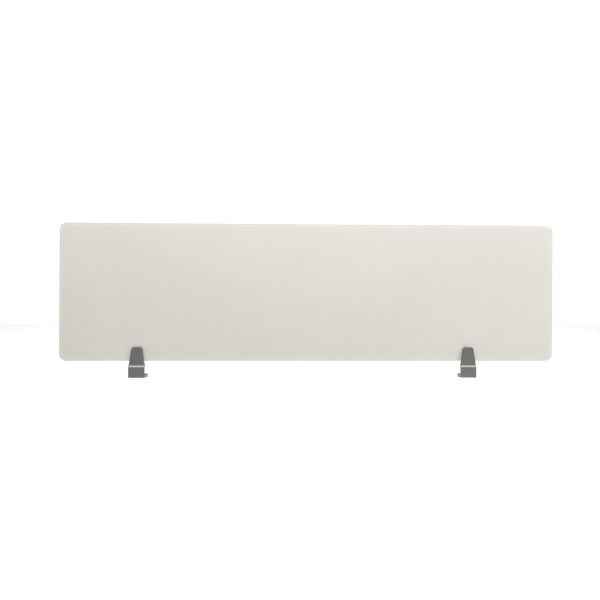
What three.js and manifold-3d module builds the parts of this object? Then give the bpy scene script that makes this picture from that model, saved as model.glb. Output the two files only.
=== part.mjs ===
// Desk privacy panel: a frosted acrylic sheet that stands in two clamps on the front edge of a desktop.
// Millimetres. +X runs along the sheet, +Y points onto the desktop and +Z is up.
// The origin is on the desktop's front top edge, below the middle of the sheet.

import * as THREE from "three";
import { mergeVertices } from "three/addons/utils/BufferGeometryUtils.js";
import Module from "manifold-3d";

const wasm = await Module();
wasm.setup();

// ---------------------------------------------------------------- driving dimensions

const INCH = 25.4;

// The sheet: 58 in wide acrylic, 6 mm thick, with its lower edge held clear of the desktop.
const PANEL_WIDTH = 58 * INCH;
const PANEL_HEIGHT = 408;
const PANEL_THICKNESS = 6;
const PANEL_CORNER_RADIUS = 19;
const PANEL_EDGE_EASE = 0.5;
const PANEL_BOTTOM = 20;

// The desktop that the clamps are made for.
const DESK_THICKNESS = 1 * INCH;

// The two clamps. inward is the direction along X towards the middle of the sheet.
const CLAMPS = [
  { side: "left", x: -508, inward: 1 },
  { side: "right", x: 480, inward: -1 },
];
const CLAMP_WIDTH = 48;
const EDGE_EASE = 0.6;

// Fits between pieces.
const CONTACT_GAP = 0.1;
const SHEET_GAP = 0.2;
const RUNNING_GAP = 0.3;

// Edge clamp, the C-shaped casting. Its front wall's inner face meets the desk's edge at Y 0.
const FRONT_WALL = 4;
const CLAMP_REACH = 48;
const SHOULDER_BOTTOM = 2.8;
const SHOULDER_TOP = 7.8;
const SHOULDER_DEPTH = 2.8;
const REAR_PLATE_TOP = 5;
const DESK_PAD_THICKNESS = 1;
const JAW_TOP = -DESK_THICKNESS - 0.6;
const JAW_THICKNESS = 3;
const MOUTH_LEAD_IN = 1.2;
const REAR_CORNER_RADIUS = 8;
const TONGUE_HALF_WIDTH = 13;

// Jaw screws and their swivel feet, in bosses under the lower jaw.
const JAW_SCREW_SPACING = 25;
const JAW_SCREW_Y = 36;
const BOSS_RADIUS = 10.6;
const BOSS_BOTTOM = -34.5;
const RIB_WIDTH = 4;
const FOOT_RADIUS = 8;
const FOOT_THICKNESS = 2.4;
const FOOT_PAD_RADIUS = 7.4;
const FOOT_PAD_THICKNESS = 0.7;
const FOOT_POCKET_RADIUS = 8.8;
const JAW_SCREW_BOTTOM = -37.4;

// Panel holder, the U-shaped casting on top of the edge clamp: a fin in front of the sheet, a narrower wall
// behind it, and half the width of each at its foot and at its top.
const FIN = { top: 61.7, footHalfWidth: 23.4, topHalfWidth: 15.2 };
const REAR_WALL = { top: 58, footHalfWidth: 16, topHalfWidth: 13 };
const WALL_CORNER_RADIUS = 8;
const BASE_FRONT_HALF_WIDTH = 21.5;
const BASE_REAR_HALF_WIDTH = 15;
const FIN_FRONT = -1.4;
const FIN_BACK = 4.5;
const FIN_LEAN = 2.2;
const REAR_WALL_FRONT = 19.5;
const REAR_WALL_BACK = 26;
const REAR_WALL_LEAN = 1.2;

// Linings and pressure plate in the slot.
const LINER_THICKNESS = 1;
const CUSHION_THICKNESS = 1.1;
const PLATE_THICKNESS = 3;
const PLATE_TOP = 55;
const FRONT_LINER_TOP = 56;
const PLATE_LINER_TOP = 54;

// M6 grub screws and M4 flat-head screws, as plain cylinders of the threads' outer size less their play.
const GRUB_RADIUS = 2.8;
const GRUB_HOLE_RADIUS = 3.1;
const DOG_RADIUS = 1.9;
const DOG_HOLE_RADIUS = 2.2;
const GRUB_CHAMFER = 0.6;
const SOCKET_ACROSS_FLATS = 3;
const SOCKET_DEPTH = 3.2;
const JAW_DOG_REACH = 1.3;
const GRIP_SCREW_HEIGHTS = { lower: 30, upper: 47 };
const GRIP_SCREW_BACK = 27.4;
const HOLDER_SCREW_SPACING = 28;
const HOLDER_SCREW_Y = 12;
const HOLDER_SCREW_TOP = 15;
const HOLDER_SCREW_BOTTOM = 1.3;
const FLAT_HEAD = {
  shank: 2,
  head: 3.8,
  headHeight: 1.8,
  socketRadius: 1.4,
  socketDepth: 1.6,
  tipChamfer: 0.5,
};

// How far a cutting tool, or a piece that is joined on, runs past the face that it meets.
const OVERSHOOT = 1;

// Steps along each rounded corner of an outline, and round a full turn of a revolved piece.
const ARC_STEPS = 5;
const TURN_STEPS = 24;
const HEXAGON = 6;

// ---------------------------------------------------------------- places worked out from them

const HALF_WIDTH = CLAMP_WIDTH / 2;
const CLAMP_FRONT = -FRONT_WALL;
const TOP_PLATE_BOTTOM = DESK_PAD_THICKNESS + CONTACT_GAP;
const JAW_BOTTOM = JAW_TOP - JAW_THICKNESS;
const BOSS_ROOT = JAW_BOTTOM + OVERSHOOT;

const FOOT_PAD_TOP = -DESK_THICKNESS;
const FOOT_PAD_BOTTOM = FOOT_PAD_TOP - FOOT_PAD_THICKNESS;
const FOOT_TOP = FOOT_PAD_BOTTOM - CONTACT_GAP;
const FOOT_BOTTOM = FOOT_TOP - FOOT_THICKNESS;
const FOOT_POCKET_FLOOR = FOOT_BOTTOM - RUNNING_GAP;

const HOLDER_BOTTOM = SHOULDER_TOP + CONTACT_GAP;
const CUSHION_TOP = PANEL_BOTTOM - CONTACT_GAP;
const SLOT_FLOOR = CUSHION_TOP - CUSHION_THICKNESS - CONTACT_GAP;

const FRONT_LINER_BACK = FIN_BACK + CONTACT_GAP + LINER_THICKNESS;
const PANEL_FRONT = FRONT_LINER_BACK + SHEET_GAP;
const PANEL_BACK = PANEL_FRONT + PANEL_THICKNESS;
const PLATE_LINER_FRONT = PANEL_BACK + SHEET_GAP;
const PLATE_FRONT = PLATE_LINER_FRONT + LINER_THICKNESS + CONTACT_GAP;
const PLATE_BACK = PLATE_FRONT + PLATE_THICKNESS;
const LINING_BOTTOM = PANEL_BOTTOM + RUNNING_GAP;
const DOG_SEAT_DEPTH = 0.9;

// Half the width at height z of a wall of the holder, which narrows in a straight line from its foot up.
function halfWidthAt(wall, z) {
  const risen = (z - HOLDER_BOTTOM) / (wall.top - HOLDER_BOTTOM);
  return wall.footHalfWidth + (wall.topHalfWidth - wall.footHalfWidth) * risen;
}

// ---------------------------------------------------------------- materials

function finish(colour, roughness, metalness) {
  return new THREE.MeshStandardMaterial({ color: colour, roughness, metalness, flatShading: true });
}

const finishes = {
  acrylic: () => finish("#d6d4cd", 0.55, 0),
  casting: () => finish("#757573", 0.42, 0.85),
  steel: () => finish("#9a9a98", 0.35, 1),
  rubber: () => finish("#2c2c2b", 0.9, 0),
  liner: () => finish("#8d8d8a", 0.85, 0),
};

// ---------------------------------------------------------------- geometry helpers

// A closed outline through corners [x, y, radius], with a true arc at each corner that has a radius.
function roundedOutline(corners) {
  const shape = new THREE.Shape();
  corners.forEach(([x, y, radius], i) => {
    const corner = new THREE.Vector2(x, y);
    const before = new THREE.Vector2(...corners.at(i - 1)).sub(corner).normalize();
    const after = new THREE.Vector2(...corners[(i + 1) % corners.length]).sub(corner).normalize();
    if (!radius) {
      shape[i ? "lineTo" : "moveTo"](x, y);
      return;
    }
    const halfAngle = Math.acos(before.dot(after)) / 2;
    const tangent = radius / Math.tan(halfAngle);
    const centre = before.clone().add(after).normalize().multiplyScalar(radius / Math.sin(halfAngle));
    centre.add(corner);
    const start = corner.clone().addScaledVector(before, tangent).sub(centre);
    const end = corner.clone().addScaledVector(after, tangent).sub(centre);
    const clockwise = before.cross(after) > 0;
    shape.absarc(centre.x, centre.y, radius, start.angle(), end.angle(), clockwise);
  });
  return shape;
}

// Sends an outline drawn in (Y, Z) to the YZ plane, so that it is extruded along X.
const ALONG_X = new THREE.Matrix4().makeBasis(
  new THREE.Vector3(0, 1, 0),
  new THREE.Vector3(0, 0, 1),
  new THREE.Vector3(1, 0, 0),
);

// An outline extruded from one place to another along an axis. Its two faces have edges eased by ease.
// Along x the outline is drawn in (Y, Z), along y in (X, Z) and along z in (X, Y).
function extruded(outline, axis, from, to, ease = 0) {
  const geometry = new THREE.ExtrudeGeometry(outline, {
    depth: to - from - 2 * ease,
    bevelEnabled: ease > 0,
    bevelThickness: ease,
    bevelSize: ease,
    bevelOffset: -ease,
    bevelSegments: 1,
    curveSegments: ARC_STEPS,
  });
  if (axis === "y") return geometry.translate(0, 0, ease - to).rotateX(Math.PI / 2);
  geometry.translate(0, 0, from + ease);
  return axis === "x" ? geometry.applyMatrix4(ALONG_X) : geometry;
}

// A profile of [radius, z] points turned about the Z axis. It starts and ends on the axis.
function revolved(profile) {
  const points = profile.map(([radius, z]) => new THREE.Vector2(radius, z));
  return new THREE.LatheGeometry(points, TURN_STEPS).rotateX(Math.PI / 2);
}

// A plain cylinder about the Z axis.
function cylinder(radius, bottom, top, sides = TURN_STEPS) {
  const geometry = new THREE.CylinderGeometry(radius, radius, top - bottom, sides);
  return geometry.rotateX(Math.PI / 2).translate(0, 0, (top + bottom) / 2);
}

// A geometry as a solid that can be joined and cut: only shared positions are kept, its triangles of no
// area are dropped, and its faces point outward.
function solid(geometry) {
  const bare = geometry.clone();
  bare.deleteAttribute("normal");
  bare.deleteAttribute("uv");
  const merged = mergeVertices(bare, 1e-4);
  const index = merged.index.array;
  const points = merged.attributes.position;
  const corner = [0, 1, 2].map(() => new THREE.Vector3());
  const triangles = [];
  let volume = 0;
  for (let i = 0; i < index.length; i += 3) {
    const [a, b, c] = index.slice(i, i + 3);
    if (a === b || b === c || c === a) continue;
    triangles.push([a, b, c]);
    [a, b, c].forEach((vertex, k) => corner[k].fromBufferAttribute(points, vertex));
    volume += corner[0].dot(corner[1].cross(corner[2]));
  }
  if (volume < 0) triangles.forEach((triangle) => triangle.reverse());
  return new wasm.Manifold(new wasm.Mesh({
    numProp: 3,
    vertProperties: new Float32Array(points.array),
    triVerts: new Uint32Array(triangles.flat()),
  }));
}

function join(...geometries) {
  return geometries.map(solid).reduce((whole, next) => whole.add(next));
}

function cut(whole, ...geometries) {
  return geometries.map(solid).reduce((rest, tool) => rest.subtract(tool), whole);
}

// A named mesh made from a geometry or from a joined and cut solid.
function piece(name, shape, material) {
  const whole = shape.isBufferGeometry ? solid(shape) : shape;
  const { vertProperties, triVerts } = whole.getMesh();
  const geometry = new THREE.BufferGeometry();
  geometry.setAttribute("position", new THREE.BufferAttribute(vertProperties, 3));
  geometry.setIndex(new THREE.BufferAttribute(triVerts, 1));
  geometry.computeVertexNormals();
  const mesh = new THREE.Mesh(geometry, material);
  mesh.name = name;
  return mesh;
}

// ---------------------------------------------------------------- the sheet

function frostedPanel() {
  const half = PANEL_WIDTH / 2;
  const top = PANEL_BOTTOM + PANEL_HEIGHT;
  const outline = roundedOutline([
    [-half, PANEL_BOTTOM, PANEL_CORNER_RADIUS],
    [half, PANEL_BOTTOM, PANEL_CORNER_RADIUS],
    [half, top, PANEL_CORNER_RADIUS],
    [-half, top, PANEL_CORNER_RADIUS],
  ]);
  const sheet = extruded(outline, "y", PANEL_FRONT, PANEL_BACK, PANEL_EDGE_EASE);
  return piece("frosted_panel", sheet, finishes.acrylic());
}

// ---------------------------------------------------------------- edge clamp

const jawScrewPlaces = [-JAW_SCREW_SPACING / 2, JAW_SCREW_SPACING / 2];
const holderScrewPlaces = [-HOLDER_SCREW_SPACING / 2, HOLDER_SCREW_SPACING / 2];

// The C-shaped section in (Y, Z). A sloping shoulder joins the front face to the top.
function clampSection() {
  const rimRadius = 1.2;
  const shoulderFootRadius = 3;
  const shoulderTopRadius = 0.8;
  const stepTop = REAR_WALL_BACK + 1;
  const stepRun = 2;
  const mouthEdge = CLAMP_REACH - MOUTH_LEAD_IN;
  return roundedOutline([
    [CLAMP_FRONT, JAW_BOTTOM, rimRadius],
    [CLAMP_FRONT, SHOULDER_BOTTOM, shoulderFootRadius],
    [CLAMP_FRONT + SHOULDER_DEPTH, SHOULDER_TOP, shoulderTopRadius],
    [stepTop, SHOULDER_TOP],
    [stepTop + stepRun, REAR_PLATE_TOP],
    [CLAMP_REACH, REAR_PLATE_TOP, rimRadius],
    [CLAMP_REACH, TOP_PLATE_BOTTOM + MOUTH_LEAD_IN],
    [mouthEdge, TOP_PLATE_BOTTOM],
    [0, TOP_PLATE_BOTTOM],
    [0, JAW_TOP],
    [mouthEdge, JAW_TOP],
    [CLAMP_REACH, JAW_TOP - MOUTH_LEAD_IN],
    [CLAMP_REACH, JAW_BOTTOM, rimRadius],
  ]);
}

// What the top plate loses on its right side, where it narrows behind the fin to a round-ended tongue.
function tongueCutter() {
  const outline = roundedOutline([
    [HALF_WIDTH, FIN_BACK],
    [HALF_WIDTH + OVERSHOOT, FIN_BACK],
    [HALF_WIDTH + OVERSHOOT, CLAMP_REACH + OVERSHOOT],
    [0, CLAMP_REACH + OVERSHOOT],
    [0, CLAMP_REACH],
    [TONGUE_HALF_WIDTH, CLAMP_REACH, REAR_CORNER_RADIUS],
  ]);
  return extruded(outline, "z", 0, SHOULDER_TOP + OVERSHOOT);
}

// A rib under the lower jaw, from the front wall down to the boss at place x.
function jawRib(x) {
  const rootFront = 2;
  const tipBack = JAW_SCREW_Y - BOSS_RADIUS + OVERSHOOT;
  const outline = roundedOutline([
    [rootFront, BOSS_ROOT],
    [rootFront, JAW_BOTTOM],
    [tipBack, BOSS_BOTTOM + 1],
    [tipBack, BOSS_ROOT],
  ]);
  return extruded(outline, "x", x - RIB_WIDTH / 2, x + RIB_WIDTH / 2);
}

// The casting: its jaw keeps its full width, and the top plate narrows to a tongue under the sheet.
function edgeClamp(name) {
  const boss = cylinder(BOSS_RADIUS, BOSS_BOTTOM, BOSS_ROOT);
  const bosses = jawScrewPlaces.map((x) => boss.clone().translate(x, JAW_SCREW_Y, 0));
  const bridge = new THREE.BoxGeometry(JAW_SCREW_SPACING, BOSS_RADIUS, BOSS_ROOT - BOSS_BOTTOM);
  bridge.translate(0, JAW_SCREW_Y, (BOSS_ROOT + BOSS_BOTTOM) / 2);
  const plan = roundedOutline([
    [-HALF_WIDTH, CLAMP_FRONT],
    [HALF_WIDTH, CLAMP_FRONT],
    [HALF_WIDTH, CLAMP_REACH, REAR_CORNER_RADIUS],
    [-HALF_WIDTH, CLAMP_REACH, REAR_CORNER_RADIUS],
  ]);
  const body = join(
    extruded(clampSection(), "x", -HALF_WIDTH, HALF_WIDTH, EDGE_EASE),
    ...bosses,
    bridge,
    ...jawScrewPlaces.map(jawRib),
  ).intersect(solid(extruded(plan, "z", BOSS_BOTTOM - OVERSHOOT, SHOULDER_TOP + OVERSHOOT)));
  const narrowing = [tongueCutter(), tongueCutter().scale(-1, 1, 1)];
  const pockets = jawScrewPlaces.flatMap((x) => [
    cylinder(FOOT_POCKET_RADIUS, FOOT_POCKET_FLOOR, JAW_TOP + OVERSHOOT).translate(x, JAW_SCREW_Y, 0),
    cylinder(GRUB_HOLE_RADIUS, BOSS_BOTTOM - OVERSHOOT, JAW_TOP).translate(x, JAW_SCREW_Y, 0),
  ]);
  const { shank, head, headHeight } = FLAT_HEAD;
  const shankHole = shank + RUNNING_GAP;
  const headHole = head + RUNNING_GAP;
  const countersink = revolved([
    [0, TOP_PLATE_BOTTOM - OVERSHOOT],
    [headHole, TOP_PLATE_BOTTOM - OVERSHOOT],
    [headHole, TOP_PLATE_BOTTOM + RUNNING_GAP],
    [shankHole, TOP_PLATE_BOTTOM + RUNNING_GAP + headHeight],
    [shankHole, SHOULDER_TOP + OVERSHOOT],
    [0, SHOULDER_TOP + OVERSHOOT],
  ]);
  const screwHoles = holderScrewPlaces.map((x) => countersink.clone().translate(x, HOLDER_SCREW_Y, 0));
  return piece(name, cut(body, ...narrowing, ...pockets, ...screwHoles), finishes.casting());
}

function deskPad(name) {
  const margin = 1.5;
  const front = 2.2;
  const frontCorner = 2;
  const rearCorner = REAR_CORNER_RADIUS - margin;
  const side = HALF_WIDTH - margin;
  const tongueSide = TONGUE_HALF_WIDTH - margin;
  const rear = CLAMP_REACH - margin - MOUTH_LEAD_IN;
  const outline = roundedOutline([
    [-side, front, frontCorner],
    [side, front, frontCorner],
    [side, FIN_BACK],
    [tongueSide, rear, rearCorner],
    [-tongueSide, rear, rearCorner],
    [-side, FIN_BACK],
  ]);
  return piece(name, extruded(outline, "z", 0, DESK_PAD_THICKNESS), finishes.rubber());
}

// ---------------------------------------------------------------- panel holder

// A wall of the holder seen from the front: it narrows from its foot to rounded corners at its top.
function wallOutline({ top, footHalfWidth, topHalfWidth }) {
  return roundedOutline([
    [-footHalfWidth, HOLDER_BOTTOM],
    [footHalfWidth, HOLDER_BOTTOM],
    [topHalfWidth, top, WALL_CORNER_RADIUS],
    [-topHalfWidth, top, WALL_CORNER_RADIUS],
  ]);
}

// Leans the outer face of a wall towards its inner face, by lean at full height and not at all at its foot.
function leaned(geometry, outer, inner, height, lean) {
  const points = geometry.attributes.position;
  for (let i = 0; i < points.count; i += 1) {
    const outwardShare = (points.getY(i) - inner) / (outer - inner);
    const risen = (points.getZ(i) - HOLDER_BOTTOM) / (height - HOLDER_BOTTOM);
    const inward = Math.sign(inner - outer);
    points.setY(i, points.getY(i) + inward * lean * outwardShare * risen);
  }
  return geometry;
}

// Turns a geometry drawn up the Z axis so that it runs back along Y instead, at height z.
function pointedBack(geometry, z) {
  return geometry.rotateX(-Math.PI / 2).translate(0, 0, z);
}

function panelHolder(name) {
  const fin = extruded(wallOutline(FIN), "y", FIN_FRONT, FIN_BACK, EDGE_EASE);
  const rearWall = extruded(wallOutline(REAR_WALL), "y", REAR_WALL_FRONT, REAR_WALL_BACK, EDGE_EASE);
  const baseFront = FIN_BACK - 2 * OVERSHOOT;
  const baseRear = REAR_WALL_FRONT + 2 * OVERSHOOT;
  const base = roundedOutline([
    [-BASE_FRONT_HALF_WIDTH, baseFront],
    [BASE_FRONT_HALF_WIDTH, baseFront],
    [BASE_REAR_HALF_WIDTH, baseRear],
    [-BASE_REAR_HALF_WIDTH, baseRear],
  ]);
  const body = join(
    leaned(fin, FIN_FRONT, FIN_BACK, FIN.top, FIN_LEAN),
    leaned(rearWall, REAR_WALL_BACK, REAR_WALL_FRONT, REAR_WALL.top, REAR_WALL_LEAN),
    extruded(base, "z", HOLDER_BOTTOM, SLOT_FLOOR),
  );
  const gripHole = cylinder(GRUB_HOLE_RADIUS, REAR_WALL_FRONT - OVERSHOOT, REAR_WALL_BACK + OVERSHOOT);
  const gripHoles = Object.values(GRIP_SCREW_HEIGHTS).map((z) => pointedBack(gripHole.clone(), z));
  const screwHole = cylinder(
    FLAT_HEAD.shank + RUNNING_GAP,
    HOLDER_BOTTOM - OVERSHOOT,
    HOLDER_SCREW_TOP + RUNNING_GAP,
  );
  const screwHoles = holderScrewPlaces.map((x) => screwHole.clone().translate(x, HOLDER_SCREW_Y, 0));
  return piece(name, cut(body, ...gripHoles, ...screwHoles), finishes.casting());
}

// A flat lining in the slot, as far inside the outline of a wall of the holder as margin.
function lining(wall, front, thickness, top, margin) {
  const footCorner = 3;
  const topCorner = WALL_CORNER_RADIUS - margin / 2;
  const foot = halfWidthAt(wall, LINING_BOTTOM) - margin;
  const head = halfWidthAt(wall, top) - margin;
  const outline = roundedOutline([
    [-foot, LINING_BOTTOM, footCorner],
    [foot, LINING_BOTTOM, footCorner],
    [head, top, topCorner],
    [-head, top, topCorner],
  ]);
  return extruded(outline, "y", front, front + thickness);
}

function frontLiner(name) {
  const margin = 3;
  const liner = lining(FIN, FIN_BACK + CONTACT_GAP, LINER_THICKNESS, FRONT_LINER_TOP, margin);
  return piece(name, liner, finishes.liner());
}

function plateLiner(name) {
  const margin = 1.5;
  const liner = lining(REAR_WALL, PLATE_LINER_FRONT, LINER_THICKNESS, PLATE_LINER_TOP, margin);
  return piece(name, liner, finishes.liner());
}

// The pressure plate, with a shallow seat in its back for the point of each grip screw.
function pressurePlate(name) {
  const margin = 0.5;
  const seat = cylinder(DOG_HOLE_RADIUS, PLATE_BACK - DOG_SEAT_DEPTH, PLATE_BACK + OVERSHOOT);
  const seats = Object.values(GRIP_SCREW_HEIGHTS).map((z) => pointedBack(seat.clone(), z));
  const plate = solid(lining(REAR_WALL, PLATE_FRONT, PLATE_THICKNESS, PLATE_TOP, margin));
  return piece(name, cut(plate, ...seats), finishes.casting());
}

function slotCushion(name) {
  const margin = 0.5;
  const length = 2 * (BASE_REAR_HALF_WIDTH - margin);
  const depth = REAR_WALL_FRONT - FIN_BACK - 2 * RUNNING_GAP;
  const cushion = new THREE.BoxGeometry(length, depth, CUSHION_THICKNESS);
  cushion.translate(0, (FIN_BACK + REAR_WALL_FRONT) / 2, CUSHION_TOP - CUSHION_THICKNESS / 2);
  return piece(name, cushion, finishes.rubber());
}

// ---------------------------------------------------------------- screws and feet

// A grub screw on the Z axis: a hexagon socket in the bottom end and a dog point at the top.
function grubScrew(bottom, neck, tip) {
  const body = solid(revolved([
    [0, bottom],
    [GRUB_RADIUS - GRUB_CHAMFER, bottom],
    [GRUB_RADIUS, bottom + GRUB_CHAMFER],
    [GRUB_RADIUS, neck - GRUB_CHAMFER],
    [DOG_RADIUS, neck],
    [DOG_RADIUS, tip],
    [0, tip],
  ]));
  const socketRadius = SOCKET_ACROSS_FLATS / Math.sqrt(3);
  return cut(body, cylinder(socketRadius, bottom - OVERSHOOT, bottom + SOCKET_DEPTH, HEXAGON));
}

function jawScrew(name) {
  const screw = grubScrew(JAW_SCREW_BOTTOM, FOOT_BOTTOM - CONTACT_GAP, FOOT_BOTTOM + JAW_DOG_REACH);
  return piece(name, screw, finishes.steel());
}

// The same screw turned to point along -Y, with its socket at the rear.
function gripScrew(name) {
  const seatFloor = PLATE_BACK - DOG_SEAT_DEPTH;
  const screw = grubScrew(-GRIP_SCREW_BACK, -PLATE_BACK - RUNNING_GAP, -seatFloor - CONTACT_GAP);
  const mesh = piece(name, screw, finishes.steel());
  mesh.rotation.x = Math.PI / 2;
  return mesh;
}

function jawFoot(name) {
  const rim = 0.5;
  const disc = solid(revolved([
    [0, FOOT_BOTTOM],
    [FOOT_RADIUS - rim, FOOT_BOTTOM],
    [FOOT_RADIUS, FOOT_BOTTOM + rim],
    [FOOT_RADIUS, FOOT_TOP],
    [0, FOOT_TOP],
  ]));
  const socketTop = FOOT_BOTTOM + JAW_DOG_REACH + RUNNING_GAP;
  const socket = cylinder(DOG_HOLE_RADIUS, FOOT_BOTTOM - OVERSHOOT, socketTop);
  return piece(name, cut(disc, socket), finishes.steel());
}

function footPad(name) {
  return piece(name, cylinder(FOOT_PAD_RADIUS, FOOT_PAD_BOTTOM, FOOT_PAD_TOP), finishes.rubber());
}

// A flat-head screw pointing up, with a hexagon socket in its head.
function holderScrew(name) {
  const { shank, head, headHeight, socketRadius, socketDepth, tipChamfer } = FLAT_HEAD;
  const bottom = HOLDER_SCREW_BOTTOM;
  const body = solid(revolved([
    [0, bottom],
    [head, bottom],
    [shank, bottom + headHeight],
    [shank, HOLDER_SCREW_TOP - tipChamfer],
    [shank - tipChamfer, HOLDER_SCREW_TOP],
    [0, HOLDER_SCREW_TOP],
  ]));
  const socket = cylinder(socketRadius, bottom - OVERSHOOT, bottom + socketDepth, HEXAGON);
  return piece(name, cut(body, socket), finishes.steel());
}

// ---------------------------------------------------------------- one whole clamp

function clamp({ side, x, inward }) {
  const group = new THREE.Group();
  group.position.x = x;
  group.add(
    edgeClamp(`${side}_edge_clamp`),
    deskPad(`${side}_desk_pad`),
    panelHolder(`${side}_panel_holder`),
    frontLiner(`${side}_front_liner`),
    slotCushion(`${side}_slot_cushion`),
    pressurePlate(`${side}_pressure_plate`),
    plateLiner(`${side}_plate_liner`),
  );
  for (const [level, z] of Object.entries(GRIP_SCREW_HEIGHTS)) {
    const screw = gripScrew(`${side}_grip_screw_${level}`);
    screw.position.z = z;
    group.add(screw);
  }
  for (const [where, direction] of [["inner", inward], ["outer", -inward]]) {
    const jawX = direction * JAW_SCREW_SPACING / 2;
    const jawPieces = [
      jawScrew(`${side}_jaw_screw_${where}`),
      jawFoot(`${side}_jaw_foot_${where}`),
      footPad(`${side}_foot_pad_${where}`),
    ];
    jawPieces.forEach((mesh) => mesh.position.set(jawX, JAW_SCREW_Y, 0));
    const fastener = holderScrew(`${side}_holder_screw_${where}`);
    fastener.position.set(direction * HOLDER_SCREW_SPACING / 2, HOLDER_SCREW_Y, 0);
    group.add(...jawPieces, fastener);
  }
  return group;
}

const deskPrivacyPanel = new THREE.Group();
deskPrivacyPanel.add(frostedPanel(), ...CLAMPS.map(clamp));

export default deskPrivacyPanel;
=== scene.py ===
"""Desk privacy panel: the looks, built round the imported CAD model.

Each piece is drawn in millimetres. A clamp's pieces are drawn with X counted from that clamp's middle, and
are then carried to their place in the frame, in metres.
"""

import math

import bmesh
import bpy
from mathutils import Matrix, Vector


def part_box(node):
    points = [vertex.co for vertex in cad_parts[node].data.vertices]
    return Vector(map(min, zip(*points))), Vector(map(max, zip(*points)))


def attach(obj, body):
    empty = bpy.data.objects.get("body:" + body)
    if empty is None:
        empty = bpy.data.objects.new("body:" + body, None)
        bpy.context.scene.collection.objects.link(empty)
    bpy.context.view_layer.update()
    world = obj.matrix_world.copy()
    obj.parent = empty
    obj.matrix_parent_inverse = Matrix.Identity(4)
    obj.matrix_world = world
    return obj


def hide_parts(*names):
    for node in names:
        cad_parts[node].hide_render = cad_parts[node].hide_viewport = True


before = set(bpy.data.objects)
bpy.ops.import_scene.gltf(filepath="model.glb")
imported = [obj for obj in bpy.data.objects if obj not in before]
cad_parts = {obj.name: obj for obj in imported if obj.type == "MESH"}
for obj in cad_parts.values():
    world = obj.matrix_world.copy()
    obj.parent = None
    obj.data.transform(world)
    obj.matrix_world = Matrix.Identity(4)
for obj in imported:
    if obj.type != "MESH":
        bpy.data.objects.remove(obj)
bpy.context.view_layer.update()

MM = 0.001
SIDES = ("left", "right")

# ------------------------------------------------------------------ sizes that the frame doesn't give, in mm

EDGE_ROUND = 0.6
CONTACT_GAP = 0.1
SHOULDER_BOTTOM = 2.8
SHOULDER_DEPTH = 2.8
REAR_PLATE_TOP = 5.0
STEP_TOP = 27.0
STEP_RUN = 2.0
MOUTH_LEAD_IN = 1.2
RIM_RADIUS = 1.2
INNER_FILLET = 0.8
REAR_CORNER_RADIUS = 8.0
TONGUE_HALF_WIDTH = 13.0
JAW_TOP = -26.0
JAW_BOTTOM = -29.0
BOSS_RADIUS = 10.6
BOSS_BOTTOM = -34.5
RIB_WIDTH = 4.0
POCKET_RADIUS = 8.8
GRUB_RADIUS = 2.8
GRUB_SOCKET_ACROSS_FLATS = 3.0
GRUB_SOCKET_DEPTH = 3.2
POINT_RADIUS = 1.9
POINT_HOLE_RADIUS = 2.2
THREAD_HOLE_RADIUS = 3.1
THREAD_PITCH = 1.0
THREAD_DEPTH = 0.54 * THREAD_PITCH
SINK_RADIUS = 4.1
SINK_SHANK_RADIUS = 2.3
PAD_MARGIN = 1.5
WALL_ROUND = 0.9
WALL_CORNER_RADIUS = 8.0
FIN_BACK = 4.5
FIN_LEAN = 2.2
FIN_TOP_HALF_WIDTH = 15.2
REAR_WALL_FRONT = 19.5
REAR_WALL_TOP = 58.0
REAR_WALL_LEAN = 1.2
REAR_WALL_FOOT_HALF_WIDTH = 16.0
REAR_WALL_TOP_HALF_WIDTH = 13.0
BASE_FRONT_HALF_WIDTH = 21.5
BASE_REAR_HALF_WIDTH = 15.0
SLOT_FLOOR = 18.7
SHEET_CORNER_RADIUS = 19.0
SHEET_EDGE_ROUND = 0.9

# How far a cutting tool, or a piece that is joined on, runs past the face that it meets.
OVERSHOOT = 1.0

# Steps along each rounded corner, round a full turn and up one turn of a thread.
ARC_STEPS = 10
TURN_STEPS = 48
THREAD_STEPS = 8

# The angles, in degrees, above which an edge is rounded over, and above which it is shaded as sharp.
SOFTENED_ABOVE = 28.0
SHARP_ABOVE = 35.0


# ------------------------------------------------------------------ meshes

def box_mm(node, x=0.0):
    """The lowest and highest corners of a CAD node in millimetres, with X counted from x."""
    low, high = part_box(node)
    shift = Vector((x, 0.0, 0.0))
    return low / MM - shift, high / MM - shift


def clamp_x(side):
    """Where the middle of a clamp lies along the sheet, in millimetres."""
    low, high = box_mm(f"{side}_edge_clamp")
    return (low.x + high.x) / 2


def arc(centre, radius, start, end, steps=ARC_STEPS):
    """Points on an arc from angle start to angle end, in degrees."""
    angles = [math.radians(start + (end - start) * i / steps) for i in range(steps + 1)]
    return [(centre[0] + radius * math.cos(a), centre[1] + radius * math.sin(a)) for a in angles]


def rounded(corners, steps=ARC_STEPS):
    """A closed outline through corners (u, v, radius), with an arc at each corner that has a radius."""
    points = []
    for i, (u, v, radius) in enumerate(corners):
        corner = Vector((u, v))
        if not radius:
            points.append((u, v))
            continue
        before = (Vector(corners[i - 1][:2]) - corner).normalized()
        after = (Vector(corners[(i + 1) % len(corners)][:2]) - corner).normalized()
        half_angle = before.angle(after) / 2
        centre = corner + (before + after).normalized() * radius / math.sin(half_angle)
        reach = radius / math.tan(half_angle)
        start = corner + before * reach - centre
        end = corner + after * reach - centre
        first = math.degrees(math.atan2(start.y, start.x))
        turn = -math.degrees(start.angle_signed(end))
        points += arc(centre, radius, first, first + turn, steps)
    return points


PLANES = {
    "x": lambda u, v, along: (along, u, v),
    "y": lambda u, v, along: (u, along, v),
    "z": lambda u, v, along: (u, v, along),
}


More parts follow.
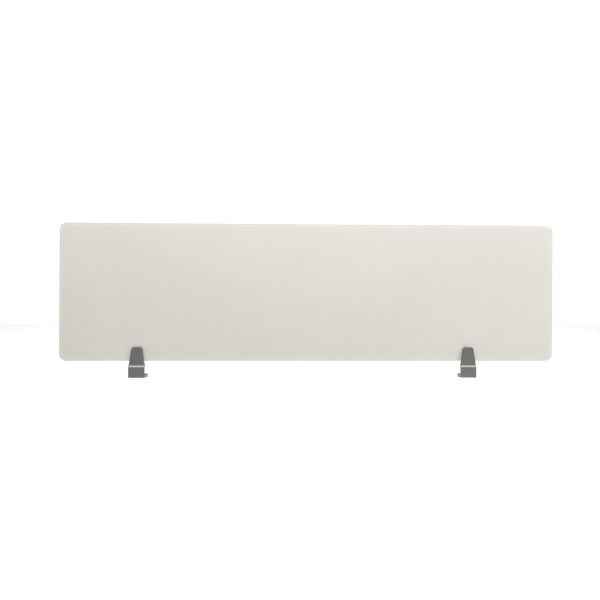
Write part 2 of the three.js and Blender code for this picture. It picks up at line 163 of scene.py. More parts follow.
def mesh_piece(name, build):
    """A new object whose mesh is filled by build(bmesh), with its faces made to point outward."""
    shape = bmesh.new()
    build(shape)
    bmesh.ops.recalc_face_normals(shape, faces=shape.faces)
    mesh = bpy.data.meshes.new(name)
    shape.to_mesh(mesh)
    shape.free()
    piece = bpy.data.objects.new(name, mesh)
    bpy.context.scene.collection.objects.link(piece)
    return piece


def stacked(name, rings):
    """A closed body through rings that have the same number of points, capped at both ends."""
    def build(shape):
        loops = [[shape.verts.new(point) for point in ring] for ring in rings]
        for lower, upper in zip(loops, loops[1:]):
            for i, vertex in enumerate(lower):
                shape.faces.new((lower[i - 1], vertex, upper[i], upper[i - 1]))
        shape.faces.new(loops[0])
        shape.faces.new(loops[-1])
    return mesh_piece(name, build)


def prism(name, outline, axis, low, high):
    """An outline carried along an axis: in (Y, Z) along x, in (X, Z) along y and in (X, Y) along z."""
    place = PLANES[axis]
    return stacked(name, [[place(u, v, along) for u, v in outline] for along in (low, high)])


def circle(radius, z, x=0.0, y=0.0):
    """A ring of points about a vertical axis."""
    last = TURN_STEPS - 1
    return [(x + u, y + v, z) for u, v in arc((0, 0), radius, 0, 360 * last / TURN_STEPS, last)]


def turned(name, profile, x=0.0, y=0.0):
    """A body of revolution about a vertical axis through x, y, from a profile of (radius, z) points."""
    return stacked(name, [circle(radius, z, x=x, y=y) for radius, z in profile])


def settled(piece):
    """The piece with its modifiers made part of its mesh."""
    depsgraph = bpy.context.evaluated_depsgraph_get()
    piece.data = bpy.data.meshes.new_from_object(piece.evaluated_get(depsgraph), depsgraph=depsgraph)
    piece.modifiers.clear()
    return piece


def combined(piece, tools, operation):
    """The piece joined to, cut by or kept within each tool. The tools are used up."""
    for tool in tools:
        modifier = piece.modifiers.new(operation, "BOOLEAN")
        modifier.operation = operation
        modifier.solver = "EXACT"
        modifier.object = tool
        settled(piece)
        bpy.data.objects.remove(tool)
    return piece


def softened(piece, width, steps=3):
    """The piece with every edge sharper than SOFTENED_ABOVE rounded over."""
    modifier = piece.modifiers.new("round", "BEVEL")
    modifier.width = width
    modifier.segments = steps
    modifier.limit_method = "ANGLE"
    modifier.angle_limit = math.radians(SOFTENED_ABOVE)
    modifier.use_clamp_overlap = False
    modifier.miter_outer = "MITER_ARC"
    return settled(piece)


def finished(piece, body, replaced, material, x=0.0):
    """Carries a piece to its place, shades it, gives it its material and ties it to the frame."""
    piece.data.transform(Matrix.Scale(MM, 4) @ Matrix.Translation((x, 0.0, 0.0)))
    piece.data.polygons.foreach_set("use_smooth", [True] * len(piece.data.polygons))
    piece.data.set_sharp_from_angle(angle=math.radians(SHARP_ABOVE))
    normals = piece.modifiers.new("normals", "WEIGHTED_NORMAL")
    normals.keep_sharp = True
    piece.data.materials.clear()
    piece.data.materials.append(material)
    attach(piece, body)
    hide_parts(replaced)
    return piece


# ------------------------------------------------------------------ materials

def node(tree, kind, inputs=None, **settings):
    """A new shader node. inputs holds plain values or the sockets that feed them."""
    made = tree.nodes.new(kind)
    for key, value in settings.items():
        setattr(made, key, value)
    for key, value in (inputs or {}).items():
        if isinstance(value, bpy.types.NodeSocket):
            tree.links.new(value, made.inputs[key])
        else:
            made.inputs[key].default_value = value
    return made


def maths(tree, operation, first, second=0.0):
    """One sum on numbers or sockets."""
    return node(tree, "ShaderNodeMath", {0: first, 1: second}, operation=operation).outputs[0]


def between(tree, value, low, high, out_low=0.0, out_high=1.0):
    """value carried from the range low to high to the range out_low to out_high, and held at its ends."""
    inputs = {"Value": value, "From Min": low, "From Max": high, "To Min": out_low, "To Max": out_high}
    return node(tree, "ShaderNodeMapRange", inputs, interpolation_type="SMOOTHSTEP").outputs["Result"]


def noise(tree, where, scale, detail=3.0, roughness=0.5, stretch=(1.0, 1.0, 1.0)):
    """Noise in the piece's own coordinates, about 0.5. scale is in features for each metre."""
    mapped = node(tree, "ShaderNodeMapping", {"Vector": where, "Scale": stretch}).outputs["Vector"]
    inputs = {"Vector": mapped, "Scale": scale, "Detail": detail, "Roughness": roughness}
    return node(tree, "ShaderNodeTexNoise", inputs).outputs["Fac"]


def bump(tree, height, strength, distance, under=None):
    """A bump from a height, over another one if it is given."""
    inputs = {"Height": height, "Strength": strength, "Distance": distance}
    if under is not None:
        inputs["Normal"] = under
    return node(tree, "ShaderNodeBump", inputs).outputs["Normal"]


def tinted(tree, factor, low, high):
    """A colour between low and high."""
    mix = node(tree, "ShaderNodeMix", {"Factor": factor}, data_type="RGBA")
    mix.inputs[6].default_value = (*low, 1.0)
    mix.inputs[7].default_value = (*high, 1.0)
    return mix.outputs[2]


def faded(tree, factor, under, over):
    """The colour socket under, faded towards the plain colour over."""
    mix = node(tree, "ShaderNodeMix", {"Factor": factor}, data_type="RGBA")
    tree.links.new(under, mix.inputs[6])
    mix.inputs[7].default_value = (*over, 1.0)
    return mix.outputs[2]


def material(name, constants):
    """A new material, with its tree, its main shader and the piece's own coordinates."""
    made = bpy.data.materials.new(name)
    made.use_nodes = True
    tree = made.node_tree
    shader = tree.nodes["Principled BSDF"]
    for key, value in constants.items():
        shader.inputs[key].default_value = value
    where = node(tree, "ShaderNodeTexCoord").outputs["Object"]
    return made, tree, shader, where


def feed(tree, shader, **sockets):
    """Links sockets to the shader's inputs, whose names are given with _ for a space."""
    for key, socket in sockets.items():
        tree.links.new(socket, shader.inputs[key.replace("_", " ")])


def frosted_acrylic():
    """Etched acrylic: it lets blurred light through. Its colour holds a painted glow in a band a few
    millimetres inside its edges, and painted shade on a thin line right at its edges.
    """
    made, tree, shader, where = material("frosted_acrylic", {
        "IOR": 1.49, "Specular IOR Level": 0.35, "Transmission Weight": 0.5,
    })
    low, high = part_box("frosted_panel")
    split = node(tree, "ShaderNodeSeparateXYZ", {"Vector": where}).outputs
    from_ends = maths(tree, "SUBTRACT", (high.x - low.x) / 2, maths(tree, "ABSOLUTE", split["X"]))
    from_bottom = maths(tree, "SUBTRACT", split["Z"], low.z)
    from_top = maths(tree, "SUBTRACT", high.z, split["Z"])
    from_edge = maths(tree, "MINIMUM", from_ends, maths(tree, "MINIMUM", from_bottom, from_top))
    # Painted shade: the colour is darker on a thin line within about 2 mm of the sheet's edges.
    rim = between(tree, from_edge, 0.0006, 0.0022, 1.0, 0.0)
    # Painted glow: the colour is lighter in a band from about 1.5 to 10 mm inside the sheet's edges,
    # standing in for light carried along the sheet.
    painted_glow_inner_fade = between(tree, from_edge, 0.006, 0.010, 1.0, 0.0)
    painted_glow_band = maths(tree, "MULTIPLY", between(tree, from_edge, 0.0015, 0.003), painted_glow_inner_fade)
    cloud = between(tree, noise(tree, where, 2.2, 2.0), 0.3, 0.7)
    plain = tinted(tree, cloud, (0.53, 0.513, 0.48), (0.55, 0.533, 0.50))
    with_painted_glow = faded(tree, maths(tree, "MULTIPLY", painted_glow_band, 0.35), plain, (0.62, 0.603, 0.57))
    colour = faded(tree, maths(tree, "MULTIPLY", rim, 0.5), with_painted_glow, (0.40, 0.40, 0.39))
    etched = noise(tree, where, 2600.0, 2.0, 0.6)
    roughness = between(tree, noise(tree, where, 420.0, 4.0), 0.3, 0.7, 0.5, 0.6)
    feed(tree, shader, Base_Color=colour, Roughness=roughness)
    feed(tree, shader, Normal=bump(tree, etched, 0.25, 0.00004))
    return made


def satin_casting():
    """A satin grey die casting: an even tone, a fine grain and a slight waviness."""
    made, tree, shader, where = material("satin_casting", {
        "Metallic": 0.85, "Coat Weight": 0.08, "Coat Roughness": 0.3,
    })
    tone = between(tree, noise(tree, where, 160.0, 4.0, 0.6), 0.3, 0.7)
    grain = noise(tree, where, 2400.0, 3.0, 0.6)
    waviness = noise(tree, where, 240.0, 2.0)
    roughness = between(tree, noise(tree, where, 900.0, 4.0, 0.65), 0.3, 0.7, 0.36, 0.46)
    feed(tree, shader, Base_Color=tinted(tree, tone, (0.158, 0.157, 0.154), (0.171, 0.170, 0.167)))
    feed(tree, shader, Roughness=roughness)
    feed(tree, shader, Normal=bump(tree, grain, 0.3, 0.00004, bump(tree, waviness, 0.1, 0.0001)))
    return made


def plated_steel():
    """Zinc-plated steel: cool, bright, with fine turning marks and a faint bloom."""
    made, tree, shader, where = material("plated_steel", {"Metallic": 1.0})
    bloom = between(tree, noise(tree, where, 260.0, 4.0, 0.6), 0.35, 0.65)
    marks = noise(tree, where, 1500.0, 2.0, 0.5, (0.35, 0.35, 3.0))
    roughness = between(tree, marks, 0.3, 0.7, 0.24, 0.40)
    feed(tree, shader, Base_Color=tinted(tree, bloom, (0.46, 0.46, 0.455), (0.60, 0.60, 0.585)))
    feed(tree, shader, Roughness=roughness, Normal=bump(tree, marks, 0.2, 0.00003))
    return made


def black_rubber():
    """Moulded black rubber with a dry, slightly dusty surface."""
    made, tree, shader, where = material("black_rubber", {"Specular IOR Level": 0.35})
    dust = between(tree, noise(tree, where, 300.0, 5.0, 0.65), 0.4, 0.75)
    pores = noise(tree, where, 3000.0, 2.0)
    roughness = between(tree, dust, 0.0, 1.0, 0.72, 0.9)
    feed(tree, shader, Base_Color=tinted(tree, dust, (0.022, 0.022, 0.023), (0.06, 0.06, 0.058)))
    feed(tree, shader, Roughness=roughness, Normal=bump(tree, pores, 0.35, 0.00006))
    return made


def grey_liner():
    """Grey closed-cell foam strip."""
    made, tree, shader, where = material("grey_liner", {"Specular IOR Level": 0.3})
    cell_inputs = {"Vector": where, "Scale": 2200.0}
    cells = node(tree, "ShaderNodeTexVoronoi", cell_inputs).outputs["Distance"]
    tone = between(tree, noise(tree, where, 500.0, 4.0), 0.3, 0.7)
    roughness = between(tree, tone, 0.0, 1.0, 0.82, 0.94)
    feed(tree, shader, Base_Color=tinted(tree, tone, (0.20, 0.20, 0.195), (0.27, 0.27, 0.262)))
    feed(tree, shader, Roughness=roughness, Normal=bump(tree, cells, 0.4, 0.00008))
    return made


ACRYLIC = frosted_acrylic()
CASTING = satin_casting()
STEEL = plated_steel()
RUBBER = black_rubber()
LINER = grey_liner()


# ------------------------------------------------------------------ the sheet

def acrylic_sheet():
    """The sheet, with arcs at its corners and softly rounded polished edges."""
    low, high = box_mm("frosted_panel")
    radius = SHEET_CORNER_RADIUS
    outline = rounded([
        (low.x, low.z, radius), (high.x, low.z, radius), (high.x, high.z, radius), (low.x, high.z, radius),
    ], 24)
    sheet = prism("acrylic_sheet", outline, "y", low.y, high.y)
    softened(sheet, SHEET_EDGE_ROUND, 4)
    finished(sheet, "panel", "frosted_panel", ACRYLIC)


# ------------------------------------------------------------------ edge clamp

def screw_place(node_name, x):
    """How far an upright screw stands from its clamp's middle along X, and its place along Y."""
    low, high = box_mm(node_name, x)
    return abs(low.x + high.x) / 2, (low.y + high.y) / 2


def clamp_section(low, high, pad_top):
    """The C-shaped section in (Y, Z). A sloping shoulder joins the front face to the top."""
    plate_bottom = pad_top + CONTACT_GAP
    mouth_edge = high.y - MOUTH_LEAD_IN
    return rounded([
        (low.y, JAW_BOTTOM, RIM_RADIUS),
        (low.y, SHOULDER_BOTTOM, 3.0),
        (low.y + SHOULDER_DEPTH, high.z, 0.8),
        (STEP_TOP, high.z, 0.8),
        (STEP_TOP + STEP_RUN, REAR_PLATE_TOP, 0.8),
        (high.y, REAR_PLATE_TOP, RIM_RADIUS),
        (high.y, plate_bottom + MOUTH_LEAD_IN, 0.4),
        (mouth_edge, plate_bottom, 0.6),
        (0, plate_bottom, INNER_FILLET),
        (0, JAW_TOP, INNER_FILLET),
        (mouth_edge, JAW_TOP, 0.6),
        (high.y, JAW_TOP - MOUTH_LEAD_IN, 0.4),
        (high.y, JAW_BOTTOM, RIM_RADIUS),
    ])


def tongue_cutter(high, side_sign):
    """What the top plate loses on one side, where it narrows behind the fin to a round-ended tongue."""
    behind = high.y + 0.05
    below_plate = 0.3
    corners = [
        (high.x, FIN_BACK, 0), (high.x + OVERSHOOT, FIN_BACK, 0),
        (high.x + OVERSHOOT, behind + OVERSHOOT, 0), (0, behind + OVERSHOOT, 0),
        (0, behind, 0), (TONGUE_HALF_WIDTH, behind, REAR_CORNER_RADIUS),
    ]
    outline = [(side_sign * u, v) for u, v in rounded(corners)]
    return prism("tongue_cutter", outline, "z", below_plate, high.z + OVERSHOOT)


def clamp_body(side, low, high, pad_top):
    """The C-shaped body with its edges rounded, before anything is added under its jaw."""
    body = prism(f"{side}_clamp_casting", clamp_section(low, high, pad_top), "x", low.x, high.x)
    square_end = 20
    plan = rounded([
        (low.x - OVERSHOOT, low.y - OVERSHOOT, 0), (high.x + OVERSHOOT, low.y - OVERSHOOT, 0),
        (high.x + OVERSHOOT, square_end, 0), (high.x, square_end, 0),
        (high.x, high.y, REAR_CORNER_RADIUS), (low.x, high.y, REAR_CORNER_RADIUS),
        (low.x, square_end, 0), (low.x - OVERSHOOT, square_end, 0),
    ])
    combined(body, [prism("plan", plan, "z", low.z - 5, high.z + 5)], "INTERSECT")
    combined(body, [tongue_cutter(high, 1), tongue_cutter(high, -1)], "DIFFERENCE")
    return softened(body, EDGE_ROUND)


def jaw_underside(boss_x, boss_y):
    """The bosses for the jaw screws, the ribs that run to them and the bridge between them."""
    root = JAW_BOTTOM + OVERSHOOT
    boss = [
        (BOSS_RADIUS - 0.8, BOSS_BOTTOM), (BOSS_RADIUS - 0.4, BOSS_BOTTOM + 0.1),
        (BOSS_RADIUS - 0.1, BOSS_BOTTOM + 0.4), (BOSS_RADIUS, BOSS_BOTTOM + 0.8), (BOSS_RADIUS, root),
    ]
    rib_front = 2
    rib_back = boss_y - BOSS_RADIUS + OVERSHOOT
    rib_top = root - 0.3
    rib = [
        (rib_front, rib_top), (rib_front, rib_top - 0.4),
        (rib_back, BOSS_BOTTOM + 1), (rib_back, rib_top),
    ]
    under = []
    for where in (-boss_x, boss_x):
        under.append(turned("boss", boss, where, boss_y))
        under.append(softened(prism("rib", rib, "x", where - RIB_WIDTH / 2, where + RIB_WIDTH / 2), 0.2, 2))
    half_bridge = BOSS_RADIUS / 2
    bridge = [
        (-boss_x, boss_y - half_bridge), (boss_x, boss_y - half_bridge),
        (boss_x, boss_y + half_bridge), (-boss_x, boss_y + half_bridge),
    ]
    under.append(softened(prism("bridge", bridge, "z", BOSS_BOTTOM + 0.8, root - 0.1), 0.4))
    return under


def jaw_holes(boss_x, boss_y, foot_bottom):
    """Tools that cut a pocket for each swivel foot and a hole for each jaw screw."""
    foot_clearance = 0.3
    pocket = [
        (POCKET_RADIUS, foot_bottom - foot_clearance), (POCKET_RADIUS, JAW_TOP - 0.4),
        (POCKET_RADIUS + 0.8, JAW_TOP + 0.4),
    ]
    hole = [
        (THREAD_HOLE_RADIUS + 1, BOSS_BOTTOM - 0.5), (THREAD_HOLE_RADIUS, BOSS_BOTTOM + 0.5),
        (THREAD_HOLE_RADIUS, JAW_TOP),
    ]
    tools = []
    for where in (-boss_x, boss_x):
        tools.append(turned("pocket", pocket, where, boss_y))
        tools.append(turned("hole", hole, where, boss_y))
    return tools


def countersinks(fixing_x, fixing_y, pad_top, top):
    """Tools that cut a countersunk hole through the top plate for each holder screw."""
    head_top = pad_top + 0.4
    cone_top = head_top + 1.8
    sink = [
        (SINK_RADIUS, pad_top - 1), (SINK_RADIUS, head_top),
        (SINK_SHANK_RADIUS, cone_top), (SINK_SHANK_RADIUS, top + OVERSHOOT),
    ]
    return [turned("sink", sink, where, fixing_y) for where in (-fixing_x, fixing_x)]


def edge_clamp(side):
    """The C-shaped casting, with its bosses, ribs, foot pockets and screw holes."""
    name = f"{side}_edge_clamp"
    x = clamp_x(side)
    low, high = box_mm(name, x)
    pad_top = box_mm(f"{side}_desk_pad", x)[1].z
    foot_bottom = box_mm(f"{side}_jaw_foot_inner", x)[0].z
    boss_x, boss_y = screw_place(f"{side}_jaw_screw_inner", x)
    fixing_x, fixing_y = screw_place(f"{side}_holder_screw_inner", x)
    body = clamp_body(side, low, high, pad_top)
    combined(body, jaw_underside(boss_x, boss_y), "UNION")
    combined(body, jaw_holes(boss_x, boss_y, foot_bottom), "DIFFERENCE")
    combined(body, countersinks(fixing_x, fixing_y, pad_top, high.z), "DIFFERENCE")
    finished(body, "clamps", name, CASTING, x)


# ------------------------------------------------------------------ panel holder

def wall_taper(side, x, of_fin):
    """The heights of a wall's foot and top, and half its width at each: the fin's, or the rear wall's."""
    low, high = box_mm(f"{side}_panel_holder", x)
    if of_fin:
        return low.z, high.z, high.x, FIN_TOP_HALF_WIDTH
    return low.z, REAR_WALL_TOP, REAR_WALL_FOOT_HALF_WIDTH, REAR_WALL_TOP_HALF_WIDTH


def half_width(taper, z):
    """Half a wall's width at height z: it narrows in a straight line from its foot to its top."""
    bottom, top, foot, head = taper
    return foot + (head - foot) * (z - bottom) / (top - bottom)


def wall(taper, front, back, lean):
    """An upright wall. Its outer face leans by lean at the top: the front face if lean is above 0."""
    bottom, top, foot, head = taper
    radius = WALL_CORNER_RADIUS
    outline = rounded([(-foot, bottom, 0), (foot, bottom, 0), (head, top, radius), (-head, top, radius)], 16)
    made = prism("wall", outline, "y", front, back)
    for vertex in made.data.vertices:
        risen = (vertex.co.z - bottom) / (top - bottom)
        if (vertex.co.y == front) == (lean > 0):
            vertex.co.y += lean * risen
    return made


def panel_holder(side):
    """The U-shaped casting that the sheet stands in, with its tapered fin in front."""
    name = f"{side}_panel_holder"
    x = clamp_x(side)
    low, high = box_mm(name, x)
    body = wall(wall_taper(side, x, True), low.y, FIN_BACK, FIN_LEAN)
    body.name = f"{side}_holder_casting"
    rear = wall(wall_taper(side, x, False), REAR_WALL_FRONT, high.y, -REAR_WALL_LEAN)
    base_front = FIN_BACK - OVERSHOOT
    base_rear = REAR_WALL_FRONT + OVERSHOOT
    base_outline = [
        (-BASE_FRONT_HALF_WIDTH, base_front), (BASE_FRONT_HALF_WIDTH, base_front),
        (BASE_REAR_HALF_WIDTH, base_rear), (-BASE_REAR_HALF_WIDTH, base_rear),
    ]
    base = prism("base", base_outline, "z", low.z, SLOT_FLOOR)
    softened(body, WALL_ROUND, 4)
    softened(rear, WALL_ROUND, 4)
    softened(base, 0.5, 3)
    combined(body, [base, rear], "UNION")
    cuts = []
    for level in ("lower", "upper"):
        screw_low, screw_high = box_mm(f"{side}_grip_screw_{level}", x)
        z = (screw_low.z + screw_high.z) / 2
        chamfer = 0.6
        rear_face = high.y - REAR_WALL_LEAN * (z - low.z) / (REAR_WALL_TOP - low.z)
        profile = [
            (THREAD_HOLE_RADIUS, REAR_WALL_FRONT - OVERSHOOT), (THREAD_HOLE_RADIUS, rear_face - chamfer),
            (THREAD_HOLE_RADIUS + 2 * chamfer, rear_face + chamfer),
        ]
        hole = turned("hole", profile)
        hole.data.transform(Matrix.Translation((0, 0, z)) @ Matrix.Rotation(math.radians(-90), 4, "X"))
        cuts.append(hole)
    combined(body, cuts, "DIFFERENCE")
    finished(body, "clamps", name, CASTING, x)


# ------------------------------------------------------------------ linings and pads

def point_holes(side):
    """Tools that cut a blind hole in the pressure plate's back for the point of each grip screw."""
    x = clamp_x(side)
    plate_back = box_mm(f"{side}_pressure_plate", x)[1].y
    holes = []
    for level in ("lower", "upper"):
        low, high = box_mm(f"{side}_grip_screw_{level}", x)
        profile = [(POINT_HOLE_RADIUS, low.y - 0.1), (POINT_HOLE_RADIUS, plate_back + OVERSHOOT)]
        hole = turned("point_hole", profile)
        height = Matrix.Translation((0, 0, (low.z + high.z) / 2))
        hole.data.transform(height @ Matrix.Rotation(math.radians(-90), 4, "X"))
        holes.append(hole)
    return holes


def lining(side, kind, body, look, edge):
    """A flat tapered strip or plate in the slot, as far inside its wall's outline as its CAD node."""
    x = clamp_x(side)
    name = f"{side}_{kind}"
    low, high = box_mm(name, x)
    taper = wall_taper(side, x, kind == "front_liner")
    margin = half_width(taper, low.z) - high.x
    top_half = half_width(taper, high.z) - margin
    top_radius = WALL_CORNER_RADIUS - margin / 2
    outline = rounded([
        (low.x, low.z, 3), (high.x, low.z, 3),
        (top_half, high.z, top_radius), (-top_half, high.z, top_radius),
    ])
    made = prism(f"{name}_shaped", outline, "y", low.y, high.y)
    softened(made, edge)
    if kind == "pressure_plate":
        combined(made, point_holes(side), "DIFFERENCE")
    finished(made, body, name, look, x)


def ribbed_pad(side):
    """The desk pad: a thin rubber sheet with fine grooves in its underside."""
    name = f"{side}_desk_pad"
    x = clamp_x(side)
    low, high = box_mm(name, x)
    tongue_half = TONGUE_HALF_WIDTH - PAD_MARGIN
    front_corner = 2
    rear_corner = REAR_CORNER_RADIUS - PAD_MARGIN
    outline = rounded([
        (low.x, low.y, front_corner), (high.x, low.y, front_corner), (high.x, FIN_BACK, 0),
        (tongue_half, high.y, rear_corner), (-tongue_half, high.y, rear_corner), (low.x, FIN_BACK, 0),
    ])
    pad = prism(f"{side}_ribbed_pad", outline, "z", low.z, high.z)
    softened(pad, 0.2, 2)
    groove_depth, groove_inset, spacing, width = 0.35, 4.0, 3.0, 1.2
    count = int((high.y - low.y - 6) / spacing)
    first = (low.y + high.y - (count - 1) * spacing) / 2
    grooves = []
    for i in range(count):
        y = first + i * spacing
        narrowed = max(0.0, y - FIN_BACK) / (high.y - FIN_BACK)
        end = high.x + (tongue_half - high.x) * narrowed - groove_inset
        section = [
            (y - width / 2 - 0.2, low.z - 0.2), (y + width / 2 + 0.2, low.z - 0.2),
            (y + width / 4, low.z + groove_depth), (y - width / 4, low.z + groove_depth),
        ]
        grooves.append(prism("groove", section, "x", -end, end))
    combined(pad, grooves, "DIFFERENCE")
    finished(pad, "clamps", name, RUBBER, x)


def slot_cushion(side):
    """The rubber strip that the sheet's lower edge stands on."""
    name = f"{side}_slot_cushion"
    x = clamp_x(side)
    low, high = box_mm(name, x)
    outline = rounded([
        (low.x, low.y, 1.5), (high.x, low.y, 1.5), (high.x, high.y, 1.5), (low.x, high.y, 1.5),
    ], 5)
    strip = prism(f"{side}_cushion_strip", outline, "z", low.z, high.z)
    softened(strip, 0.2, 2)
    finished(strip, "clamps", name, RUBBER, x)


# ------------------------------------------------------------------ screws and feet

def hexagon(across_flats, z):
    """A ring of points on a hexagon about the Z axis."""
    apothem = across_flats / 2
    ring = []
    for i in range(TURN_STEPS):
        angle = 2 * math.pi * i / TURN_STEPS
        from_flat = (angle + math.pi / 6) % (math.pi / 3) - math.pi / 6
        reach = apothem / math.cos(from_flat)
        ring.append((reach * math.cos(angle), reach * math.sin(angle), z))
    return ring


def thread_rings(outer, bottom, top, chamfer):
    """Rings of a right-hand thread: a cylinder whose radius follows a helix, with a chamfer at each end."""
    rows = int((top - bottom) / THREAD_PITCH * THREAD_STEPS)
    rings = []
    for row in range(rows + 1):
        z = bottom + (top - bottom) * row / rows
        from_end = min(z - bottom, top - z)
        limit = outer - max(0.0, chamfer - from_end)
        ring = []
        for i in range(TURN_STEPS):
            phase = (z / THREAD_PITCH - i / TURN_STEPS) % 1.0
            ridge = min(1.0, max(0.0, 2.4 * abs(phase - 0.5) - 0.15))
            radius = min(limit, outer - THREAD_DEPTH * (1 - ridge))
            angle = 2 * math.pi * i / TURN_STEPS
            ring.append((radius * math.cos(angle), radius * math.sin(angle), z))
        rings.append(ring)
    return rings


def socket_rings(bottom, across_flats, depth, outer):
    """Rings from the floor of a hexagon socket in a screw's bottom face out to that face's rim."""
    return [
        hexagon(across_flats * 0.2, bottom + depth + 0.5),
        hexagon(across_flats, bottom + depth),
        hexagon(across_flats, bottom + 0.35),
        circle(across_flats / math.sqrt(3) + 0.2, bottom),
        circle(outer, bottom),
    ]


def grub_screw(name, low, high, neck):
    """A socket grub screw pointing up, from its socket end at low to the tip of its dog point at high."""
    chamfer = 0.7
    point_ease = 0.3
    rings = socket_rings(low, GRUB_SOCKET_ACROSS_FLATS, GRUB_SOCKET_DEPTH, GRUB_RADIUS - chamfer - 0.05)
    rings += thread_rings(GRUB_RADIUS, low + 0.05, neck - 0.05, chamfer)
    rings += [circle(POINT_RADIUS, neck), circle(POINT_RADIUS, high - point_ease)]
    rings.append(circle(POINT_RADIUS - point_ease, high))
    return stacked(name, rings)


def jaw_screw(side, where):
    """A jaw screw, with its socket below and its point in the swivel foot."""
    name = f"{side}_jaw_screw_{where}"
    x = clamp_x(side)
    low, high = box_mm(name, x)
    foot_low, _ = box_mm(f"{side}_jaw_foot_{where}", x)
    screw = grub_screw(f"{name}_threaded", low.z, high.z, foot_low.z - 0.1)
    screw.data.transform(Matrix.Translation(((low.x + high.x) / 2, (low.y + high.y) / 2, 0)))
    finished(screw, name, name, STEEL, x)


def grip_screw(side, level):
    """A grip screw, with its socket at the rear and its point in the pressure plate."""
    name = f"{side}_grip_screw_{level}"
    x = clamp_x(side)
    low, high = box_mm(name, x)
    plate_back = box_mm(f"{side}_pressure_plate", x)[1].y
    screw = grub_screw(f"{name}_threaded", -high.y, -low.y, -plate_back - 0.3)
    height = Matrix.Translation((0, 0, (low.z + high.z) / 2))
    screw.data.transform(height @ Matrix.Rotation(math.radians(90), 4, "X"))
    finished(screw, name, name, STEEL, x)


def holder_screw(side, where):
    """A flat-head screw from below, with a hexagon socket in its head and a finer thread above it."""
    name = f"{side}_holder_screw_{where}"
    x = clamp_x(side)
    low, high = box_mm(name, x)
    head = (high.x - low.x) / 2
    shank = 2.0
    across_flats, socket_depth = 2.4, 1.3
    thread_start = low.z + 3
    rings = socket_rings(low.z, across_flats, socket_depth, head - 0.3)
    rings += [circle(head, low.z + 0.15), circle(shank, low.z + 1.8), circle(shank - 0.1, thread_start)]
    rings += thread_rings(shank, thread_start + 0.05, high.z, 0.5)
    screw = stacked(f"{name}_threaded", rings)
    screw.data.transform(Matrix.Translation(((low.x + high.x) / 2, (low.y + high.y) / 2, 0)))
    finished(screw, "clamps", name, STEEL, x)


def jaw_foot(side, where):
    """A swivel foot: a turned steel disc with a rounded rim and a socket for the screw's point."""
    name = f"{side}_jaw_foot_{where}"
    x = clamp_x(side)
    low, high = box_mm(name, x)
    radius = (high.x - low.x) / 2
    hole = POINT_HOLE_RADIUS
    bottom, top = low.z, high.z
    profile = [
        (0.4, bottom + 1.6), (hole, bottom + 1.6), (hole, bottom + 0.2), (hole + 0.2, bottom),
        (radius * 0.55, bottom), (radius * 0.6, bottom + 0.25), (radius - 0.9, bottom + 0.25),
        (radius - 0.35, bottom + 0.45), (radius - 0.1, bottom + 0.8), (radius, bottom + 1.2),
        (radius, top - 0.4), (radius - 0.15, top - 0.12), (radius - 0.4, top), (0.4, top),
    ]
    foot = turned(f"{name}_disc", profile, (low.x + high.x) / 2, (low.y + high.y) / 2)
    finished(foot, name, name, STEEL, x)


def foot_pad(side, where):
    """The rubber disc on a swivel foot, with ring grooves in its face."""
    name = f"{side}_foot_pad_{where}"
    x = clamp_x(side)
    low, high = box_mm(name, x)
    radius = (high.x - low.x) / 2
    groove, ring_count = 0.22, 3
    profile = [(0.3, low.z), (radius, low.z), (radius, high.z - 0.15), (radius - 0.15, high.z)]
    spacing = radius / (ring_count + 1)
    for i in range(ring_count):
        middle = radius - spacing * (i + 1)
        profile += [
            (middle + 0.4, high.z), (middle + 0.25, high.z - groove),
            (middle - 0.25, high.z - groove), (middle - 0.4, high.z),
        ]
    profile.append((0.3, high.z))
    pad = turned(f"{name}_disc", profile, (low.x + high.x) / 2, (low.y + high.y) / 2)
    finished(pad, f"{side}_jaw_foot_{where}", name, RUBBER, x)


# ------------------------------------------------------------------ the whole object

acrylic_sheet()
for side in SIDES:
    edge_clamp(side)
    ribbed_pad(side)
    panel_holder(side)
    slot_cushion(side)
    lining(side, "front_liner", "clamps", LINER, 0.25)
    lining(side, "plate_liner", f"{side}_grip", LINER, 0.25)
    lining(side, "pressure_plate", f"{side}_grip", CASTING, 0.5)
    for level in ("lower", "upper"):
        grip_screw(side, level)
    for where in ("inner", "outer"):
        jaw_screw(side, where)
        jaw_foot(side, where)
        foot_pad(side, where)
        holder_screw(side, where)


# ------------------------------------------------------------------ floor, light and camera

def pale_floor():
    """A matte, almost white floor. It is the room's floor, a desk's height below the desktop."""
    made, tree, shader, where = material("pale_floor", {"Roughness": 0.9, "Specular IOR Level": 0.1})
    speckle = between(tree, noise(tree, where, 30.0, 3.0), 0.3, 0.7)
    feed(tree, shader, Base_Color=tinted(tree, speckle, (0.90, 0.90, 0.90), (0.92, 0.92, 0.92)))
    reach = 6.5
    level = -0.75

    def build(shape):
        corners = ((-reach, -reach), (reach, -reach), (reach, reach), (-reach, reach))
        shape.faces.new([shape.verts.new((x, y, level)) for x, y in corners])

    floor = mesh_piece("floor", build)
    floor.data.materials.append(made)


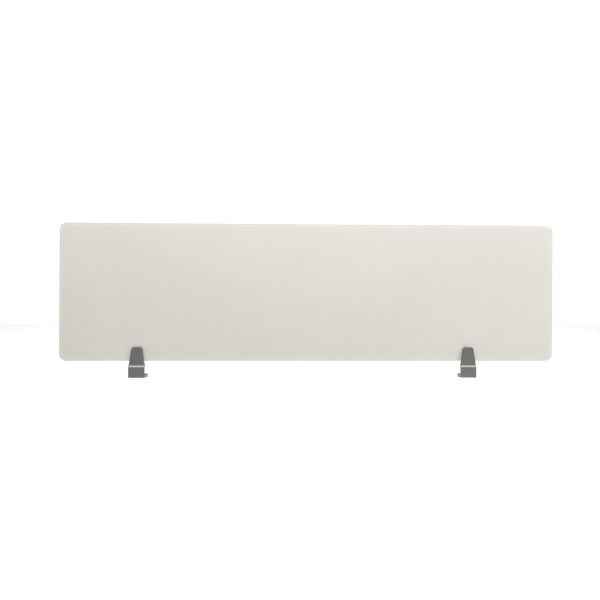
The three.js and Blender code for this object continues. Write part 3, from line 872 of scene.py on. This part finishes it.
def studio_light():
    """Soft light from all round: white behind the sheet, and dim on the camera's side."""
    world = bpy.data.worlds.new("studio")
    bpy.context.scene.world = world
    world.use_nodes = True
    tree = world.node_tree
    direction = node(tree, "ShaderNodeTexCoord").outputs["Generated"]
    split = node(tree, "ShaderNodeSeparateXYZ", {"Vector": direction}).outputs
    strength = between(tree, split["Y"], -0.4, 0.2, 0.32, 1.02)
    tree.links.new(strength, tree.nodes["Background"].inputs["Strength"])
    tree.nodes["Background"].inputs["Color"].default_value = (1.0, 1.0, 1.0, 1.0)


def area_lamp(name, place, target, size, power):
    """A rectangular soft lamp that faces a point. size is its width and its height."""
    lamp = bpy.data.lights.new(name, "AREA")
    lamp.shape = "RECTANGLE"
    lamp.size, lamp.size_y = size
    lamp.energy = power
    holder = bpy.data.objects.new(name, lamp)
    holder.location = place
    holder.rotation_euler = (Vector(target) - Vector(place)).to_track_quat("-Z", "Y").to_euler()
    bpy.context.scene.collection.objects.link(holder)


def photo_camera():
    """A level camera in front of the sheet and above the desk, turned and rolled by a very little."""
    place = Vector((-0.004, -1.790, 0.371))
    yaw, roll = math.radians(1.86), math.radians(0.36)
    lens = bpy.data.cameras.new("camera")
    lens.lens = 36.0
    lens.sensor_width = 36.0
    lens.shift_x = -0.0458
    lens.shift_y = -0.094
    lens.clip_end = 200.0
    camera = bpy.data.objects.new("camera", lens)
    level = Matrix.Rotation(-yaw, 4, "Z") @ Matrix.Rotation(math.radians(90), 4, "X")
    camera.matrix_world = Matrix.Translation(place) @ level @ Matrix.Rotation(roll, 4, "Z")
    bpy.context.scene.collection.objects.link(camera)
    bpy.context.scene.camera = camera


pale_floor()
studio_light()
area_lamp("softbox_above", (0.0, -1.0, 1.2), (0.0, 0.0, 0.25), (3.2, 0.9), 48.0)
area_lamp("key_from_right", (3.6, -1.5, 0.9), (0.0, 0.0, 0.2), (0.8, 0.8), 75.0)
area_lamp("fill_behind", (0.0, 4.2, 3.0), (0.0, 4.2, 0.0), (9.0, 8.0), 190.0)
photo_camera()
bpy.context.scene.view_settings.view_transform = "Standard"
